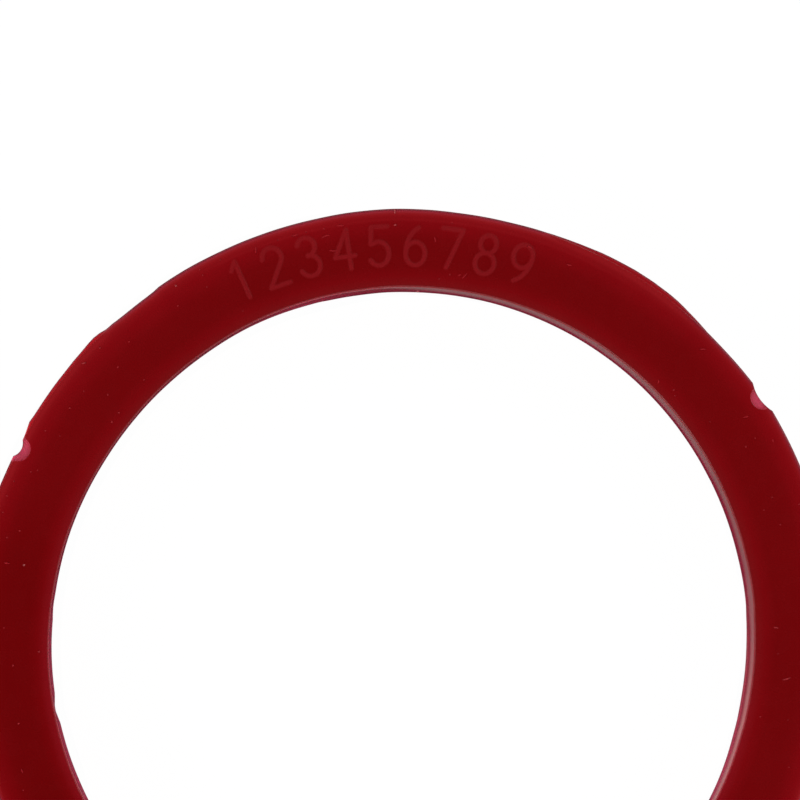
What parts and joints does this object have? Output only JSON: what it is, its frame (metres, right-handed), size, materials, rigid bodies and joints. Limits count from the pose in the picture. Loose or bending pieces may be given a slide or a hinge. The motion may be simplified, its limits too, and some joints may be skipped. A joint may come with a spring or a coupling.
{
  "type": "group head gasket",
  "caption": "Flat translucent silicone ring seal with a rectangular section, rounded edges and half-round relief notches in its outer rim.",
  "frame": {"origin": "centre of the bore, on the bottom face", "axes": "+Z along the axis of the bore, from the bottom face to the top face; the rim notches are at 30, 150 and 270 degrees from +X"},
  "size_m": [0.064, 0.064, 0.0055],
  "materials": {
    "silicone": "satin"
  },
  "bodies": {
    "root": {"gasket": "silicone"}
  },
  "joints": []
}
